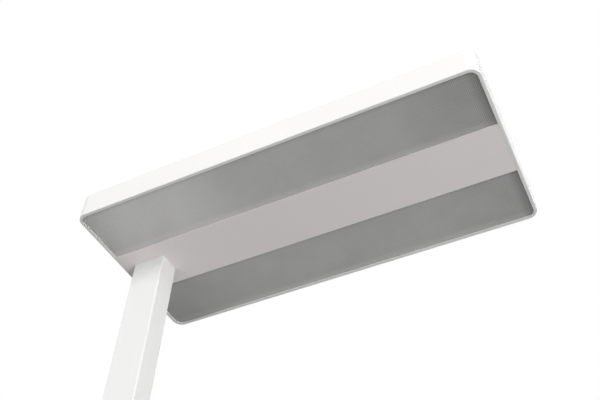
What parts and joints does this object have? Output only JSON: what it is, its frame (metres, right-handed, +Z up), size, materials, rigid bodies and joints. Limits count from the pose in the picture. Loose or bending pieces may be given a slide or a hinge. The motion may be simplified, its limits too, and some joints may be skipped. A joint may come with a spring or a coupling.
{
  "type": "floor lamp",
  "caption": "Free-standing office floor lamp: flat rectangular head with patterned panels and a plain middle strip, on a rectangular pole and a steel base plate.",
  "frame": {"origin": "on the floor, below the middle of the head", "axes": "+Z up; +X along the head, away from the pole; +Y across the head"},
  "size_m": [0.71, 0.325, 1.95],
  "materials": {
    "white_powder_coat": "fine-textured satin white powder coat",
    "prismatic_acrylic": "acrylic with a fine grid of small prisms, unlit",
    "clear_acrylic": "polished clear acrylic",
    "white_film": "white reflector film",
    "bare_aluminium": "mill-finish aluminium sheet",
    "satin_acrylic": "satin opal acrylic",
    "white_circuit_board": "white solder mask",
    "green_circuit_board": "green solder mask",
    "led_package": "yellow phosphor under clear resin",
    "zinc_steel": "bright zinc plate",
    "black_oxide_steel": "black oxide",
    "black_rubber": "moulded rubber",
    "grey_glide_plastic": "hard plastic glide",
    "black_plastic": "fine-grained black plastic",
    "driver_case": "white moulded case",
    "black_sheath": "extruded sheath",
    "white_sheath": "extruded sheath",
    "bezel_plastic": "fine-grained silver-grey plastic",
    "key_plastic": "satin white plastic",
    "nickel_plated_brass": "nickel plate over brass"
  },
  "bodies": {
    "stand": {"back_plate_far": "bare_aluminium", "back_plate_near": "bare_aluminium", "base_plate": "white_powder_coat", "base_screws": "zinc_steel", "board_screws": "zinc_steel", "bracket_screws": "zinc_steel", "cable_grommet": "black_rubber", "centre_channel": "white_powder_coat", "control_bezel": "bezel_plastic", "control_board": "green_circuit_board", "control_lead": "white_sheath", "control_socket": "black_plastic", "direct_leds": "led_package", "driver_direct": "driver_case", "driver_indirect": "driver_case", "driver_leads": "white_sheath", "driver_screws": "zinc_steel", "end_bracket_left": "zinc_steel", "end_bracket_right": "zinc_steel", "foot_block": "zinc_steel", "foot_gasket": "black_rubber", "glides": "grey_glide_plastic", "head_frame": "white_powder_coat", "indicator_light": "clear_acrylic", "inlet_boot": "black_plastic", "inlet_pins": "nickel_plated_brass", "junction_box": "black_plastic", "led_feeds": "white_sheath", "led_rail_far": "bare_aluminium", "led_rail_near": "bare_aluminium", "led_strip_far": "white_circuit_board", "led_strip_near": "white_circuit_board", "light_guide_far": "clear_acrylic", "light_guide_near": "clear_acrylic", "mains_inlet": "black_plastic", "mains_lead": "black_sheath", "neck_adapter": "white_powder_coat", "neck_screws": "zinc_steel", "pole_grub_screws": "black_oxide_steel", "pole_tube": "white_powder_coat", "prismatic_panel_far": "prismatic_acrylic", "prismatic_panel_near": "prismatic_acrylic", "reflector_sheet_far": "white_film", "reflector_sheet_near": "white_film", "reinforcing_plate": "zinc_steel", "tact_switches": "black_plastic", "top_cover": "white_powder_coat", "top_cover_screws": "zinc_steel", "uplight_board": "white_circuit_board", "uplight_feed": "white_sheath", "uplight_leds": "led_package", "uplight_lens": "satin_acrylic", "uplight_tray": "bare_aluminium"},
    "power_key": {"key_power": "key_plastic"},
    "brighter_key": {"key_brighter": "key_plastic"},
    "dimmer_key": {"key_dimmer": "key_plastic"},
    "auto_key": {"key_auto": "key_plastic"}
  },
  "joints": [
    {"name": "power_press", "type": "slide", "parent": "stand", "child": "power_key", "axis": [-1, 0, 0], "range_m": [0, 0.0008], "stiffness_N_per_m": 1500},
    {"name": "brighter_press", "type": "slide", "parent": "stand", "child": "brighter_key", "axis": [-1, 0, 0], "range_m": [0, 0.0008], "stiffness_N_per_m": 1500},
    {"name": "dimmer_press", "type": "slide", "parent": "stand", "child": "dimmer_key", "axis": [-1, 0, 0], "range_m": [0, 0.0008], "stiffness_N_per_m": 1500},
    {"name": "auto_press", "type": "slide", "parent": "stand", "child": "auto_key", "axis": [-1, 0, 0], "range_m": [0, 0.0008], "stiffness_N_per_m": 1500}
  ]
}
